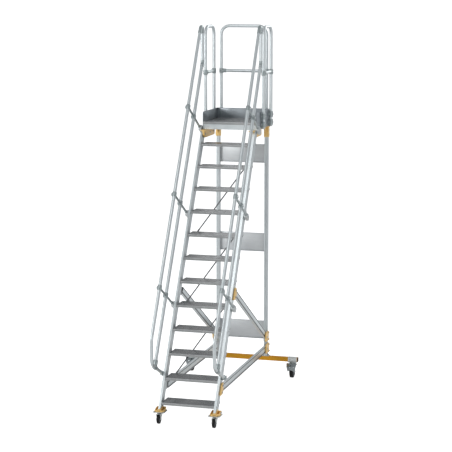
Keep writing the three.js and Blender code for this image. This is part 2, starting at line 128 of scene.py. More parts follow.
# ---- materials -----------------------------------------------------------------------------
class Nodes:
    """A material's node tree, with short ways to add and join nodes."""

    def __init__(self, name):
        self.material = bpy.data.materials.new(name)
        self.material.use_nodes = True
        self.tree = self.material.node_tree
        self.shader = self.tree.nodes["Principled BSDF"]

    def add(self, kind, **settings):
        node = self.tree.nodes.new("ShaderNode" + kind)
        for key, value in settings.items():
            setattr(node, key, value)
        return node

    def join(self, source, target):
        self.tree.links.new(source, target)

    def noise(self, scale, detail, stretch=(1, 1, 1), turn=0.0):
        """Noise in the ladder's own metres, stretched along an axis that is turned about X."""
        place = self.add("TexCoord")
        mapping = self.add("Mapping", vector_type="TEXTURE")
        mapping.inputs["Scale"].default_value = stretch
        mapping.inputs["Rotation"].default_value = (turn, 0, 0)
        noise = self.add("TexNoise")
        noise.inputs["Scale"].default_value = scale
        noise.inputs["Detail"].default_value = detail
        self.join(place.outputs["Object"], mapping.inputs["Vector"])
        self.join(mapping.outputs["Vector"], noise.inputs["Vector"])
        return noise.outputs["Fac"]

    def ramp(self, source, low, high, start=0.35, end=0.65):
        """A colour from low to high as source goes from start to end."""
        ramp = self.add("ValToRGB")
        ramp.color_ramp.elements[0].position = start
        ramp.color_ramp.elements[0].color = (*low, 1)
        ramp.color_ramp.elements[1].position = end
        ramp.color_ramp.elements[1].color = (*high, 1)
        self.join(source, ramp.inputs["Fac"])
        return ramp.outputs["Color"]

    def spread(self, source, low, high):
        """A number from low to high as source goes from 0.3 to 0.7."""
        spread = self.add("MapRange")
        spread.inputs["From Min"].default_value = 0.3
        spread.inputs["From Max"].default_value = 0.7
        spread.inputs["To Min"].default_value = low
        spread.inputs["To Max"].default_value = high
        self.join(source, spread.inputs["Value"])
        return spread.outputs["Result"]

    def blend(self, kind, amount, first, second):
        mix = self.add("Mix", data_type="RGBA", blend_type=kind)
        if isinstance(amount, float):
            mix.inputs["Factor"].default_value = amount
        else:
            self.join(amount, mix.inputs["Factor"])
        colours = [s for s in mix.inputs if s.type == "RGBA"]
        self.join(first, colours[0])
        self.join(second, colours[1])
        return [s for s in mix.outputs if s.type == "RGBA"][0]


def shade(colour, amount):
    return tuple(min(1.0, c * amount) for c in colour)


def finish(name, colour, metallic, rough, vary=0.08, grain=300, stretch=(1, 1, 1), turn=0.0,
           bump=0.1, wear=0.0, worn=(0.7, 0.7, 0.68), coat=0.0, specular=0.5, smears=0.2):
    """One finish: grain in colour, roughness and height, larger smudges, and edges rubbed lighter."""
    nodes = Nodes(name)
    shader = nodes.shader
    shader.inputs["Metallic"].default_value = metallic
    shader.inputs["Coat Weight"].default_value = coat
    shader.inputs["Coat Roughness"].default_value = 0.2
    shader.inputs["Specular IOR Level"].default_value = specular
    fine = nodes.noise(grain, 3, stretch, turn)
    smudge = nodes.noise(7, 4)
    tint = nodes.ramp(fine, shade(colour, 1 - vary), shade(colour, 1 + vary))
    cloud = nodes.ramp(smudge, shade((0.98, 0.99, 1.0), 1 - smears / 2), (1, 1, 1), 0.3, 0.6)
    whole = nodes.blend("MULTIPLY", 1.0, tint, cloud)
    if wear:
        edge = nodes.add("NewGeometry").outputs["Pointiness"]
        rubbed = nodes.ramp(edge, (0, 0, 0), (wear, wear, wear), 0.52, 0.62)
        bare = nodes.ramp(fine, shade(worn, 0.9), worn)
        whole = nodes.blend("MIX", rubbed, whole, bare)
    nodes.join(whole, shader.inputs["Base Color"])
    nodes.join(nodes.spread(smudge, rough * (1 - smears), rough * (1 + smears)), shader.inputs["Roughness"])
    relief = nodes.add("Bump")
    relief.inputs["Strength"].default_value = bump
    relief.inputs["Distance"].default_value = 0.001
    nodes.join(fine, relief.inputs["Height"])
    nodes.join(relief.outputs["Normal"], shader.inputs["Normal"])
    return nodes.material


SILVER = (0.64, 0.68, 0.69)
STEEP = math.atan2(RUN, RISE)  # the slope's lean from upright
DRAWN = dict(metallic=0.95, rough=0.34, vary=0.04, grain=420, bump=0.004, smears=0.08)
ALUMINIUM = {
    "post": finish("aluminium_post", SILVER, stretch=(1, 1, 40), **DRAWN),
    "slope": finish("aluminium_slope", SILVER, stretch=(1, 1, 40), turn=-STEEP, **DRAWN),
    "across": finish("aluminium_across", SILVER, stretch=(40, 1, 1), **DRAWN),
}
# Dark grey painted onto the floors of the stringers' and braces' grooves: painted shade in the recesses, not
# a different metal.
PAINTED_GROOVE_SHADE = finish("groove_shade", (0.2, 0.21, 0.215), 0.9, 0.4, 0.05, 300, bump=0.01)
# The treads' tops are the same metal as their nose bands, painted darker: painted shade for the top's dark
# reflection.
SHADED_TREAD_TOP = finish("tread_top_painted_shade", (0.125, 0.126, 0.127), 0.85, 0.22, 0.08, 380, (60, 1, 1), bump=0.02,
                   wear=0.3, worn=(0.42, 0.43, 0.44))
TREAD_NOSE = finish("tread_nose", (0.33, 0.335, 0.335), 0.85, 0.34, 0.1, 420, (40, 1, 1), bump=0.04,
                    wear=0.35, worn=(0.6, 0.61, 0.62))
BRUSHED = finish("brushed_sheet", (0.66, 0.68, 0.69), 0.85, 0.5, 0.04, 500, (50, 1, 1), bump=0.015,
                 wear=0.25, worn=(0.75, 0.76, 0.77))
TOE_SHEET = finish("toe_sheet", (0.31, 0.345, 0.37), 0.8, 0.42, 0.06, 420, (40, 40, 1), bump=0.02,
                   wear=0.4, worn=(0.6, 0.62, 0.64))
CAST_YELLOW = finish("cast_yellow", (0.88, 0.57, 0.19), 0.4, 0.36, 0.1, 160, bump=0.15,
                     wear=0.3, worn=(0.9, 0.72, 0.38), coat=0.2)
ORANGE = finish("orange_powder_coat", (0.62, 0.28, 0.004), 0.0, 0.5, 0.05, 900, bump=0.15,
                wear=0.15, worn=(0.75, 0.42, 0.08), coat=0.0, specular=0.2)
CAST_GREY = finish("cast_grey", (0.36, 0.405, 0.41), 0.85, 0.34, 0.08, 200, bump=0.1,
                   wear=0.4, worn=(0.5, 0.53, 0.54))
LIGHT_CAST = finish("light_casting", (0.58, 0.6, 0.6), 0.85, 0.4, 0.08, 200, bump=0.1,
                    wear=0.4, worn=(0.75, 0.76, 0.76))
ZINC = finish("zinc_plate", (0.62, 0.645, 0.63), 1.0, 0.27, 0.06, 90, bump=0.04,
              wear=0.3, worn=(0.85, 0.86, 0.85))
# The same zinc plate as the front forks, darkened for the rear forks and brake pedals: painted shade for the
# rear casters lying in shadow under the crossbar bracket.
SHADED_ZINC = finish("zinc_painted_shade", (0.27, 0.3, 0.31), 1.0, 0.2, 0.06, 90, bump=0.03,
                   wear=0.4, worn=(0.7, 0.71, 0.71))
BOLT_STEEL = finish("bolt_steel", (0.55, 0.56, 0.57), 0.95, 0.3, 0.12, 260, bump=0.15,
                    wear=0.4, worn=(0.75, 0.76, 0.77))
ROD_STEEL = finish("rod_steel", (0.20, 0.205, 0.21), 0.9, 0.34, 0.15, 240, bump=0.1)
RUBBER = finish("tyre_rubber", (0.008, 0.0085, 0.009), 0.0, 0.6, 0.25, 350, bump=0.4,
                wear=0.4, worn=(0.04, 0.04, 0.042), specular=0.25)
HUB = finish("hub_plastic", (0.13, 0.14, 0.15), 0.0, 0.45, 0.1, 200, bump=0.2,
             wear=0.4, worn=(0.3, 0.31, 0.32))
CAP = finish("cap_plastic", (0.012, 0.013, 0.014), 0.0, 0.5, 0.2, 300, bump=0.2,
             wear=0.3, worn=(0.05, 0.05, 0.055), specular=0.25)


# ---- outlines and paths --------------------------------------------------------------------
def arc(centre, radius, start, end, steps):
    """Points along an arc, whose start and end are angles in degrees."""
    angles = [math.radians(start + (end - start) * k / steps) for k in range(steps + 1)]
    return [(centre[0] + radius * math.cos(a), centre[1] + radius * math.sin(a)) for a in angles]


def ring(radius, steps=24):
    return arc((0, 0), radius, 0, 360, steps)[:-1]


def rectangle(u0, u1, v0, v1):
    return [(u0, v0), (u1, v0), (u1, v1), (u0, v1)]


def rounded(width, height, radius, centre=(0, 0), steps=6):
    """A rectangle with round corners about its centre."""
    points = []
    for quarter, (su, sv) in enumerate(((1, -1), (1, 1), (-1, 1), (-1, -1))):
        corner = (centre[0] + su * (width / 2 - radius), centre[1] + sv * (height / 2 - radius))
        points += arc(corner, radius, 90 * (quarter - 1), 90 * quarter, steps)
    return points


def grooved(points, cuts):
    """A closed outline with grooves: cuts maps an edge's first point to (from, to, depth) along that edge."""
    outline = []
    for i, start in enumerate(points):
        outline.append(start)
        end = points[(i + 1) % len(points)]
        along = Vector((end[0] - start[0], end[1] - start[1]))
        heading = along.normalized()
        inward = Vector((-heading.y, heading.x))
        for low, high, depth in cuts.get(i, ()):
            for at, deep in ((low, 0), (low + depth * 0.3, depth), (high - depth * 0.3, depth), (high, 0)):
                outline.append(tuple(Vector(start) + heading * at + inward * deep))
    return outline


def route(corners, radii, steps=10):
    """Points along straight lengths that are joined by arcs of the given radii."""
    points = [Vector(c) for c in corners]
    path = [points[0]]
    for i, radius in enumerate(radii, 1):
        before = (points[i] - points[i - 1]).normalized()
        after = (points[i + 1] - points[i]).normalized()
        angle = before.angle(after)
        start = points[i] - before * radius * math.tan(angle / 2)
        axis = before.cross(after).normalized()
        inward = axis.cross(before)
        for k in range(steps + 1):
            turn = Matrix.Rotation(angle * k / steps, 3, axis)
            path.append(start + inward * radius + turn @ (-inward * radius))
    path.append(points[-1])
    return path


AXES = {"x": (1, 2, 0), "y": (0, 2, 1), "z": (0, 1, 2)}  # where local u, v and w go


def facing(axis, origin=(0, 0, 0)):
    """A matrix that turns local u, v and w to the axes named in AXES, and moves them to origin."""
    turned = Matrix.Diagonal((0, 0, 0, 1))
    for column, row in enumerate(AXES[axis]):
        turned[row][column] = 1
    return Matrix.Translation(origin) @ turned


def aimed(origin, direction, across=(1, 0, 0)):
    """A matrix whose local w points along direction, and whose local u lies near across."""
    w = Vector(direction).normalized()
    v = w.cross(Vector(across)).normalized()
    u = v.cross(w)
    turned = Matrix((u, v, w)).transposed().to_4x4()
    return Matrix.Translation(origin) @ turned


def spare_axis(direction):
    """An axis that the direction doesn't lie along: X, or Y when the direction is near X."""
    return (0, 1, 0) if abs(Vector(direction).normalized().x) > 0.9 else (1, 0, 0)


SLOPED = Matrix(((1, 0, 0, 0), (0, 1, RUN / RISE, -FIRST_TOP * RUN / RISE), (0, 0, 1, 0), (0, 0, 0, 1)))


# ---- pieces --------------------------------------------------------------------------------
class Piece:
    """Closed parts gathered into one object.

    Each part has a local u, v and w, and place puts it on the ladder.
    """

    def __init__(self, *materials):
        self.whole = bmesh.new()
        self.materials = materials

    def take(self, part, place, bevel, segments, look):
        part.transform(place)
        bmesh.ops.recalc_face_normals(part, faces=part.faces[:])
        if bevel:
            sharp = [e for e in part.edges if e.is_manifold and e.calc_face_angle() > math.radians(28)]
            bmesh.ops.bevel(part, geom=sharp, offset=bevel, segments=segments, profile=0.5, affect="EDGES",
                            clamp_overlap=True)
        for face in part.faces:
            face.material_index = look(face.calc_center_median()) if callable(look) else look
        carrier = bpy.data.meshes.new("carrier")
        part.to_mesh(carrier)
        part.free()
        self.whole.from_mesh(carrier)
        bpy.data.meshes.remove(carrier)
        return self

    def prism(self, outline, low, high, place=facing("z"), holes=(), bevel=0.0, segments=2, look=0):
        """A closed outline of (u, v) points with holes through it, from w = low to w = high."""
        part = bmesh.new()
        loops = [outline, *holes]
        ends = [[[part.verts.new((u, v, w)) for u, v in loop] for loop in loops] for w in (low, high)]
        for below, above in zip(*ends):
            for i in range(len(below)):
                part.faces.new((below[i - 1], below[i], above[i], above[i - 1]))
        for end in ends:
            if holes:
                corners = [v for loop in end for v in loop]
                for triangle in tessellate_polygon([[Vector((*p, 0)) for p in loop] for loop in loops]):
                    part.faces.new([corners[i] for i in triangle])
            else:
                part.faces.new(end[0])
        return self.take(part, place, bevel, segments, look)

    def slab(self, outline, start, end, **shape):
        """A prism across the ladder: (y, z) points, between two x values in either order."""
        low, high = sorted((start, end))
        return self.prism(outline, low, high, facing("x"), **shape)

    def block(self, low, high, bevel=1.0, segments=2, look=0):
        """A block with rounded edges between two corners on the ladder."""
        outline = rectangle(low[0], high[0], low[1], high[1])
        return self.prism(outline, low[2], high[2], bevel=bevel, segments=segments, look=look)

    def turned(self, profile, place, steps=40, look=0, closed=False, bevel=0.0):
        """A profile of (radius, w) points turned about w. It is closed, or its ends lie on the axis."""
        part = bmesh.new()
        rings = []
        for k in range(steps):
            a = 2 * math.pi * (k + 0.5) / steps
            rings.append([part.verts.new((r * math.cos(a), r * math.sin(a), w)) for r, w in profile])
        count = len(profile)
        for k in range(steps):
            here, there = rings[k - 1], rings[k]
            for i in range(0 if closed else 1, count):
                part.faces.new((here[i - 1], here[i], there[i], there[i - 1]))
        bmesh.ops.remove_doubles(part, verts=part.verts[:], dist=1e-4)
        return self.take(part, place, bevel, 2, look)

    def disc(self, radius, low, high, place, steps=32, chamfer=1.0, look=0):
        """A round plate, bar or boss with chamfered rims."""
        face = radius - chamfer
        rims = [(face, low), (radius, low + chamfer), (radius, high - chamfer), (face, high)]
        return self.turned([(0, low), *rims, (0, high)], place, steps, look)

    def rod(self, start, end, radius, steps=20, chamfer=0.8, look=0):
        """A round bar between two points on the ladder."""
        along = Vector(end) - Vector(start)
        place = aimed(start, along, spare_axis(along))
        return self.disc(radius, 0, along.length, place, steps, chamfer, look)

    def swept(self, path, outer, side, inner=(), look=0):
        """An outline carried along a flat path. side is square to the whole path. inner makes it hollow."""
        part = bmesh.new()
        path = [Vector(p) for p in path]
        side = Vector(side)
        loops = [loop for loop in (outer, inner) if loop]
        stations = []
        for i, point in enumerate(path):
            before = path[max(i - 1, 0)]
            after = path[min(i + 1, len(path) - 1)]
            up = (after - before).normalized().cross(side)
            stations.append([[part.verts.new(point + side * u + up * v) for u, v in loop] for loop in loops])
        for here, there in zip(stations, stations[1:]):
            for a, b in zip(here, there):
                for i in range(len(a)):
                    part.faces.new((a[i - 1], a[i], b[i], b[i - 1]))
        for end in (stations[0], stations[-1]):
            if inner:
                for i in range(len(end[0])):
                    part.faces.new((end[0][i - 1], end[0][i], end[1][i], end[1][i - 1]))
            else:
                part.faces.new(end[0])
        return self.take(part, Matrix.Identity(4), 0, 0, look)

    def tube(self, path, side=(1, 0, 0), diameter=TUBE, wall=2.5, look=0):
        return self.swept(path, ring(diameter / 2, 28), side, ring(diameter / 2 - wall, 28), look)

    def bolt(self, at, direction, size=13, look=0):
        """A hexagon head on a washer."""
        place = aimed(at, direction, (0, 1, 0) if abs(Vector(direction).normalized().y) < 0.9 else (0, 0, 1))
        self.disc(size * 0.78, -0.5, 1.6, place, 24, 0.4, look)
        r, h = size * 0.577, size * 0.5
        head = [(0, 1), (r, 1), (r, h), (r * 0.86, h + 1.2), (0, h + 1.2)]
        return self.turned(head, place, 6, look)

    def flatten(self, axis, limit):
        """Press whatever stands past a limit back to it, so that the piece stays inside the frame's box."""
        for vert in self.whole.verts:
            vert.co[axis] = min(vert.co[axis], limit)

    def done(self, name, body, slot, *nodes):
        """The finished object, riding on its body and standing for the nodes it replaces."""
        self.whole.transform(Matrix.Scale(MM, 4) @ Matrix.Translation((0, -SHIFT, 0)))
        mesh = bpy.data.meshes.new(name)
        self.whole.to_mesh(mesh)
        self.whole.free()
        for material in self.materials:
            mesh.materials.append(material)
        mesh.shade_smooth()
        mesh.set_sharp_from_angle(angle=math.radians(32))
        piece = bpy.data.objects.new(name, mesh)
        bpy.context.scene.collection.objects.link(piece)
        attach(piece, body)
        if nodes:
            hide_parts(*nodes)
        return piece


# ---- treads and platform -------------------------------------------------------------------
RIB_PITCH, RIB_DEPTH, NOSE_BAND = 9.2, 1.8, 4


def plank_outline(front, back, top, height, wall=3.0):
    """A ribbed plank: a grooved nose band in front, ribs over the top and a flange with a lip behind."""
    land = 15
    upper = [(front, top - 5), (front + 0.8, top - 2), (front + 2.4, top - 0.5), (front + 5, top)]
    ribs = int((back - front - 2 * land) / RIB_PITCH)
    for k in range(ribs):
        y = front + land + k * RIB_PITCH
        upper += [(y, top), (y + 1, top - RIB_DEPTH), (y + 4.2, top - RIB_DEPTH), (y + 5.2, top)]
    bottom = top - height
    under = [
        (back - 1, top), (back, top - 1), (back, bottom), (back - 12, bottom), (back - 12, bottom + wall),
        (back - wall, bottom + wall), (back - wall, top - 2 * wall), (front + wall, top - 2 * wall),
        (front + wall, bottom + wall), (front + 14, bottom + wall), (front + 14, bottom), (front + 1, bottom),
        (front, bottom + 1),
    ]
    grooves = []
    for z in (bottom + height * 0.3, bottom + height * 0.62):
        grooves += [(front, z - 1.3), (front + 1.3, z - 0.9), (front + 1.3, z + 0.9), (front, z + 1.3)]
    return upper + under + grooves


def plank(low, high):
    """A ribbed plank in the box between two corners, with its nose band in a second finish and its top
    painted darker as painted shade.
    """
    piece = Piece(SHADED_TREAD_TOP, TREAD_NOSE)
    outline = plank_outline(low.y, high.y, high.z, high.z - low.z)
    return piece.slab(outline, low.x, high.x, look=lambda centre: 1 if centre.y < low.y + NOSE_BAND else 0)


def treads():
    for level in range(TREADS):
        node = f"tread_{level + 1:02d}"
        low, high = span(node)
        piece = plank(low, high)
        for share in (0.36, 0.68):
            web = low.y + (high.y - low.y) * share
            piece.block((low.x, web, high.z - 20), (high.x, web + 3, high.z - 5), 0.5)
        for x in (low.x, high.x - 3):
            piece.block((x, low.y + 3.2, low.z + 1), (x + 3, high.y - 3.2, high.z - 5), 0.6)
        piece.done(node + "_plank", "frame", "tread_metal", node)


def platform():
    plank(*span("platform_deck")).done("platform_deck_planks", "frame", "tread_metal", "platform_deck")

    low, high = span("platform_frame")
    beam = 30
    rail = Piece(ALUMINIUM["across"], BOLT_STEEL)
    outer = grooved(rectangle(0, beam, 0, high.z - low.z), {3: ((20, 24, 1.5), (58, 62, 1.5))})
    for y, side in ((low.y, 1), (high.y, -1)):
        place = Matrix.Translation((low.x, y, low.z)) @ facing("x") @ Matrix.Diagonal((side, 1, 1, 1))
        rail.prism(outer, 0, high.x - low.x, place)
    for x in (low.x, high.x - beam):
        rail.block((x, low.y + beam, low.z), (x + beam, high.y - beam, high.z - 1), 1.5)
    middle = (low.y + high.y) / 2
    rail.block((low.x + beam, middle - 20, low.z + 14), (high.x - beam, middle + 20, high.z - 4), 1.5)
    for x in (low.x + 60, high.x - 60):
        rail.bolt((x, low.y, low.z + 30), (0, -1, 0), 10, look=1)
    rail.done("platform_frame_beams", "frame", "aluminium", "platform_frame")


def toe_board():
    """Sheet on three sides of the deck, with its top edge folded inwards."""
    low, high = span("toe_board")
    board = Piece(TOE_SHEET, BOLT_STEEL)
    wall, corner, lip, fold = 4, 24, 11, 3
    outline = [(low.y, low.z), (high.y, low.z), (high.y, high.z)]
    outline += arc((low.y + corner, high.z - corner), corner, 90, 180, 6)
    for x in (low.x, high.x - wall):
        board.slab(outline, x, x + wall, bevel=0.8)
    board.block((low.x + wall, high.y - wall, low.z), (high.x - wall, high.y, high.z), 0.8)
    for x, inward in ((low.x, 1), (high.x, -1)):
        x0, x1 = sorted((x + inward * 0.5, x + inward * lip))
        board.block((x0, low.y + corner, high.z - fold), (x1, high.y - wall, high.z), 1)
    board.block((low.x + lip, high.y - lip, high.z - fold), (high.x - lip, high.y - 0.5, high.z), 1)
    for x, outward in ((low.x, -1), (high.x, 1)):
        for y in (low.y + 60, low.y + 330):
            for z in (low.z + 22, low.z + 62):
                board.bolt((x, y, z), (outward, 0, 0), 11, look=1)
    for x in (-200, -70, 70, 200):
        board.bolt((x, high.y, low.z + 40), (0, 1, 0), 11, look=1)
    board.done("toe_board_sheet", "frame", "toe_sheet", "toe_board")


# ---- stringers, uprights, panels and braces ------------------------------------------------
def stringers():
    wall, groove = 4.5, 3.5
    face_grooves = ((22, 34, groove), (82, 96, groove))
    corners = rectangle(0, STRINGER_THICK, STRINGER_FRONT, STRINGER_BACK)
    section = grooved(corners, {0: ((11, 14, 1.2),), 1: face_grooves, 3: face_grooves})
    hollow = rectangle(wall, STRINGER_THICK - wall, STRINGER_FRONT + wall, STRINGER_BACK - wall)
    shaded_floors = (STRINGER_IN + groove, STRINGER_OUT - groove)

    # Faces on the grooves' floors take the painted shade finish.
    def look(centre):
        return 1 if min(abs(abs(centre.x) - floor) for floor in shaded_floors) < 0.4 else 0

    for hand, side in SIDES:
        node = "stringer_" + hand
        low, high = span(node)
        outline, hole = ([(side * (STRINGER_IN + u), v) for u, v in loop] for loop in (section, hollow))
        channel = Piece(ALUMINIUM["slope"], PAINTED_GROOVE_SHADE)
        channel.prism(outline, low.z - 6, high.z, SLOPED, holes=[hole], look=look)
        channel.done(node + "_channel", "frame", "aluminium", node)

        heads = Piece(BOLT_STEEL)
        for level in range(TREADS):
            z = FIRST_TOP + level * RISE - 12
            for offset in (STRINGER_MIDDLE - 34, STRINGER_MIDDLE + 34):
                heads.bolt((side * STRINGER_OUT, slope_y(z, offset), z), (side, 0, 0), 10)
        heads.done("tread_bolts_" + hand, "frame", "zinc")


def uprights():
    for hand, _ in SIDES:
        node = "upright_" + hand
        low, high = span(node)
        wide, deep = high.x - low.x, high.y - low.y
        corners = rounded(wide, deep, 3.5, ((low.x + high.x) / 2, (low.y + high.y) / 2), 3)
        side_grooves = ((7, 11, 2), (24, 28, 2))
        faces = {3: side_grooves, 7: ((13, 26, 5),), 11: side_grooves, 15: ((13, 26, 5),)}
        hollow = rounded(wide - 13, deep - 13, 2, ((low.x + high.x) / 2, (low.y + high.y) / 2), 3)
        post = Piece(ALUMINIUM["post"])
        post.prism(grooved(corners, faces), low.z, high.z, holes=[hollow])
        post.done(node + "_post", "frame", "aluminium", node)


def panels():
    fold, reach = 2.5, 14  # the folded edge's thickness, and how far it stands in front of the sheet
    for place in ("lower", "middle", "upper"):
        node = "panel_" + place
        low, high = span(node)
        front, back = low.y - reach, low.y + 1
        sheet = Piece(BRUSHED, BOLT_STEEL)
        sheet.block(low, high, 0.8)
        for z in (low.z, high.z - fold):
            sheet.block((low.x, front, z), (high.x, back, z + fold), 0.8)
        for x in (low.x, high.x - fold):
            sheet.block((x, front, low.z + 2), (x + fold, back, high.z - 2), 0.8)
        for x, inward in ((low.x + fold, 1), (high.x - fold, -1)):
            for z in (low.z + 45, high.z - 45):
                sheet.bolt((x, low.y - 8, z), (inward, 0, 0), 8, look=1)
        sheet.done(node + "_sheet", "frame", "sheet", node)


def run_place(x, run):
    """Local u across the ladder, v square to the run and w along it."""
    (y0, z0), (y1, z1) = run
    return aimed((x, y0, z0), (0, y1 - y0, z1 - z0))


def braces():
    profile = grooved(
        rounded(BRACE_WIDE, BRACE_TALL, 2.5, steps=1),
        {1: ((2, 20, 4), (63, 73, 4)), 5: ((4, 14, 4), (57, 75, 4))},
    )
    hollow = rounded(BRACE_WIDE - 11, BRACE_TALL - 8, 2, steps=1)
    # Faces on the grooves' floors take the painted shade finish.
    shade_near, shade_far = 9.2, 12.6  # the grooves' floors lie between these distances from the middle
    up = Matrix.Diagonal((1, -1, 1, 1))  # v from aimed() points down the ladder here
    for hand, side in SIDES:
        for place, run in BRACES.items():
            node = f"brace_{place}_{hand}"
            bar = Piece(ALUMINIUM["across"], PAINTED_GROOVE_SHADE)
            bar.prism(profile, 0, math.dist(*run), run_place(side * BRACE_X, run) @ up, holes=[hollow],
                      look=lambda centre: 1 if shade_near < abs(abs(centre.x) - BRACE_X) < shade_far else 0)
            bar.done(node + "_profile", "frame", "aluminium", node)


# A knuckle's yellow shell: from and to outwards, then its outline and its bolts, as depth and height from
# the stringer's rear edge or the upright's back.
SHELLS = {
    "stringer": (
        (321.2, 335),
        [(-88, -58), (-60, -64), (4, -64), (40, -20), (46, 26), (34, 62), (-20, 62), (-34, 46), (-92, -44)],
        [(0, 32), (-30, -34)],
    ),
    "upright": (
        (319.4, 334),
        [(-126, -50), (-20, -56), (-2, -40), (0, 52), (-20, 68), (-124, 64), (-146, 46), (-146, -32)],
        [(-22, 46), (-22, -34), (-112, 8)],
    ),
}


def knuckle(node, post, side):
    """A rounded grey body, a yellow shell bolted over its outer side, and two bolts at its free end."""
    low, high = span(node)
    wide, tall = high.y - low.y, high.z - low.z
    centre = ((low.y + high.y) / 2, (low.z + high.z) / 2)
    z = centre[1]
    cast = Piece(LIGHT_CAST, BOLT_STEEL, CAST_YELLOW)
    cast.slab(rounded(wide, tall, 24, centre), low.x, high.x, bevel=6, segments=3)
    (inner, outer), outline, bolts = SHELLS[post]
    if post == "stringer":
        edge, end, way = slope_y(z, STRINGER_BACK), low.y + 1, -1
    else:
        edge, end, way = high.y + 6, high.y - 1, 1
    shell = [(edge + u, z + v) for u, v in outline]
    cast.slab(shell, side * inner, side * outer, bevel=5, segments=3, look=2)
    boss = 3
    for u, v in bolts:
        at = Vector((side * outer, edge + u, z + v))
        cast.disc(15, -boss, boss, aimed(at, (side, 0, 0), (0, 1, 0)), 28, 1.5, 2)
        cast.bolt(at + Vector((side * boss, 0, 0)), (side, 0, 0), 16, look=1)
    for v in (22 - tall / 2, tall / 2 - 22):
        cast.bolt((side * (outer - 18), end, z + v), (0, way, 0), 11, look=1)
    cast.done(node + "_casting", "frame", "cast_yellow", node)


def knuckles():
    for hand, side in SIDES:
        for place in BRACES:
            for post in SHELLS:
                knuckle(f"knuckle_{post}_{place}_{hand}", post, side)


def stay_rods():
    """Three thin diagonal rods behind the treads, each bolted to the rear flanges of treads three apart."""
    drop, reach = 13, 3
    for number, level in enumerate(ROD_TREADS, 1):
        ends = []
        for x, tread in zip(ROD_ENDS, (level, level - reach)):
            z = FIRST_TOP + (tread - 1) * RISE - drop
            ends.append(Vector((x, slope_y(z + drop, ROD_BEHIND), z)))
        rod = Piece(ROD_STEEL, BOLT_STEEL)
        rod.rod(ends[0], ends[1], 7, 20)
        along = (ends[1] - ends[0]).normalized()
        for end, inward in ((ends[0], along), (ends[1], -along)):
            rod.rod(end + inward * 12, end + inward * 46, 9, 20, 2)
            rod.disc(12, -9, 5, aimed(end, (0, 1, 0)), 28, 1.5)
            rod.bolt(end + Vector((0, 5, 0)), (0, 1, 0), 12, look=1)
        rod.done(f"stay_rod_{number}", "frame", "cast_grey")


# ---- crossbar and brackets -----------------------------------------------------------------
def crossbar():
    low, high = span("crossbar")
    bottom, top = CROSSBAR_Z
    tube = top - bottom
    middle = ((low.y + high.y) / 2, (bottom + top) / 2)
    outline = rounded(tube, tube, 6, middle)
    cap_long, gap = 8, 6
    bar = Piece(ORANGE)
    bar.slab(outline, low.x + gap, high.x - gap, holes=[rounded(tube - 7, tube - 7, 3, middle)])
    bar.done("crossbar_tube", "frame", "orange_paint", "crossbar")
    for hand, side in SIDES:
        cap = Piece(CAP)
        cap.slab(outline, side * (high.x - cap_long), side * high.x, bevel=2)
        cap.done("crossbar_cap_" + hand, "frame", "tyre")
        caster_bracket(hand, side, middle, high.y - low.y)
        upright_foot(hand, middle[0])


def caster_bracket(hand, side, middle, deep):
    """A zinc sleeve round the crossbar, over the plate that a rear caster is bolted to."""
    x, (y, z) = side * REAR["swivel"][0], middle
    tube = CROSSBAR_Z[1] - CROSSBAR_Z[0]
    sleeve, half_long, thick = tube + 6, 54, 5
    holder = Piece(ZINC, BOLT_STEEL)
    holder.slab(rounded(sleeve, sleeve, 8, middle), x - half_long, x + half_long,
                holes=[rounded(tube - 1, tube - 1, 6, middle)])
    plate = REAR["mount"] + 0.5
    holder.prism(rounded(104, deep, 10, (x, y)), plate, plate + thick, bevel=1)
    for dx in (-40, 40):
        for dy in (-26, 26):
            holder.bolt((x + dx, y + dy, plate + thick), (0, 0, 1), 9, look=1)
        for way in (-1, 1):
            holder.bolt((x + dx * 0.75, y + way * sleeve / 2, z), (0, way, 0), 12, look=1)
    holder.done("crossbar_bracket_" + hand, "frame", "zinc")


def upright_foot(hand, y):
    """A zinc base plate on the crossbar, with a gusset and an ear on each side of the upright."""
    low, high = span("upright_" + hand)
    x, top, thick = (low.x + high.x) / 2, CROSSBAR_Z[1], 5
    foot = Piece(ZINC, CAST_GREY, BOLT_STEEL)
    foot.prism(rounded(92, 58, 6, (x, y)), top, top + thick, bevel=1)
    for way in (-1, 1):
        gusset = [(x + way * 23.5, top + 4), (x + way * 45, top + 4), (x + way * 23.5, top + 36)]
        foot.prism(gusset, y - 4, y + 4, facing("y"), bevel=0.8, look=1)
        for dy in (-18, 18):
            foot.bolt((x + way * 36, y + dy, top + thick), (0, 0, 1), 11, look=2)
    for face, way in ((low.y, -1), (high.y, 1)):
        near, far = sorted((face, face + way * thick))
        foot.block((x - 20, near, top + 3), (x + 20, far, top + 40), 1.5)
        foot.bolt((x, face + way * thick, top + 26), (0, way, 0), 11, look=2)
    foot.done("upright_foot_" + hand, "frame", "zinc")


